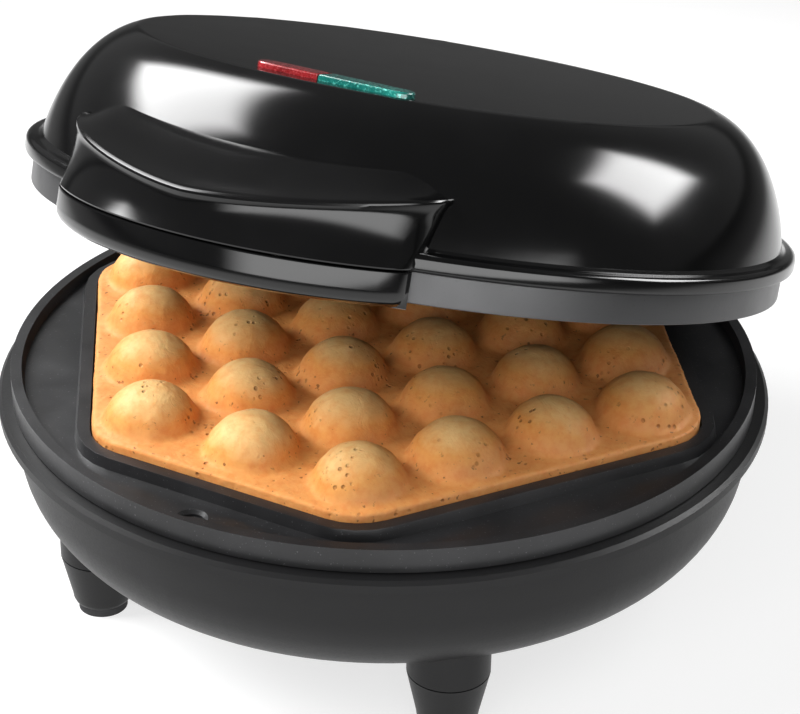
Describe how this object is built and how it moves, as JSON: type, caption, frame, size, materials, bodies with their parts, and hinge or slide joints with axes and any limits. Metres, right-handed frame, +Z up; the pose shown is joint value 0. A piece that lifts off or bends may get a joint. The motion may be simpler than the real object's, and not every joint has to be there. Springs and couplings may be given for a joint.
{
  "type": "bubble waffle maker",
  "caption": "Round countertop bubble waffle maker with a hinged gloss lid, dimpled hexagonal plates, a front handle, conical feet and a waffle in the lower plate.",
  "frame": {"origin": "on the table, under the middle of the half open machine's outline; the axis of the bowl and the lower plate stands 7.6 mm towards the handle from it", "axes": "+Z up, +Y towards the hinge, the handle at -Y, +X to the right of someone who faces the handle"},
  "size_m": [0.195, 0.2144, 0.1518],
  "materials": {
    "base_plastic": "matte",
    "gloss_plastic": "gloss",
    "plate_coating": "satin",
    "waffle": "matte",
    "element_steel": "satin",
    "spring_steel": "satin",
    "reflector": "satin",
    "screw_steel": "satin",
    "thermostat_body": "matte",
    "fuse_metal": "satin",
    "block_ceramic": "matte",
    "lead_sleeve": "matte",
    "rubber": "matte",
    "red_lens": "gloss",
    "green_lens": "gloss",
    "lamp_glass": "polished"
  },
  "bodies": {
    "base": {"base_housing": "base_plastic", "base_wiring": "lead_sleeve", "cord_bushing": "rubber", "foot_back_left": "base_plastic", "foot_back_right": "base_plastic", "foot_front_left": "base_plastic", "foot_front_right": "base_plastic", "foot_pad_back_left": "rubber", "foot_pad_back_right": "rubber", "foot_pad_front_left": "rubber", "foot_pad_front_right": "rubber", "foot_screws": "screw_steel", "hinge_pins": "screw_steel", "lower_heater": "element_steel", "lower_heater_clips": "spring_steel", "lower_plate": "plate_coating", "lower_plate_screws": "screw_steel", "lower_reflector": "reflector", "terminal_block": "block_ceramic", "thermal_fuse": "fuse_metal", "thermostat": "thermostat_body", "waffle": "waffle"},
    "lid": {"lid_housing": "gloss_plastic", "handle_cover": "gloss_plastic", "handle_screws": "screw_steel", "upper_plate": "plate_coating", "upper_heater": "element_steel", "upper_heater_clips": "spring_steel", "upper_reflector": "reflector", "upper_plate_screws": "screw_steel", "red_lens": "red_lens", "green_lens": "green_lens", "lamp_holder": "base_plastic", "red_lamp": "lamp_glass", "green_lamp": "lamp_glass", "lid_wiring": "lead_sleeve"}
  },
  "joints": [
    {"name": "lid_hinge", "type": "hinge", "parent": "base", "child": "lid", "pos_m": [0, 0.0924, 0.042], "axis": [-1, 0, 0], "range_deg": [-17.4, 77.6]}
  ]
}
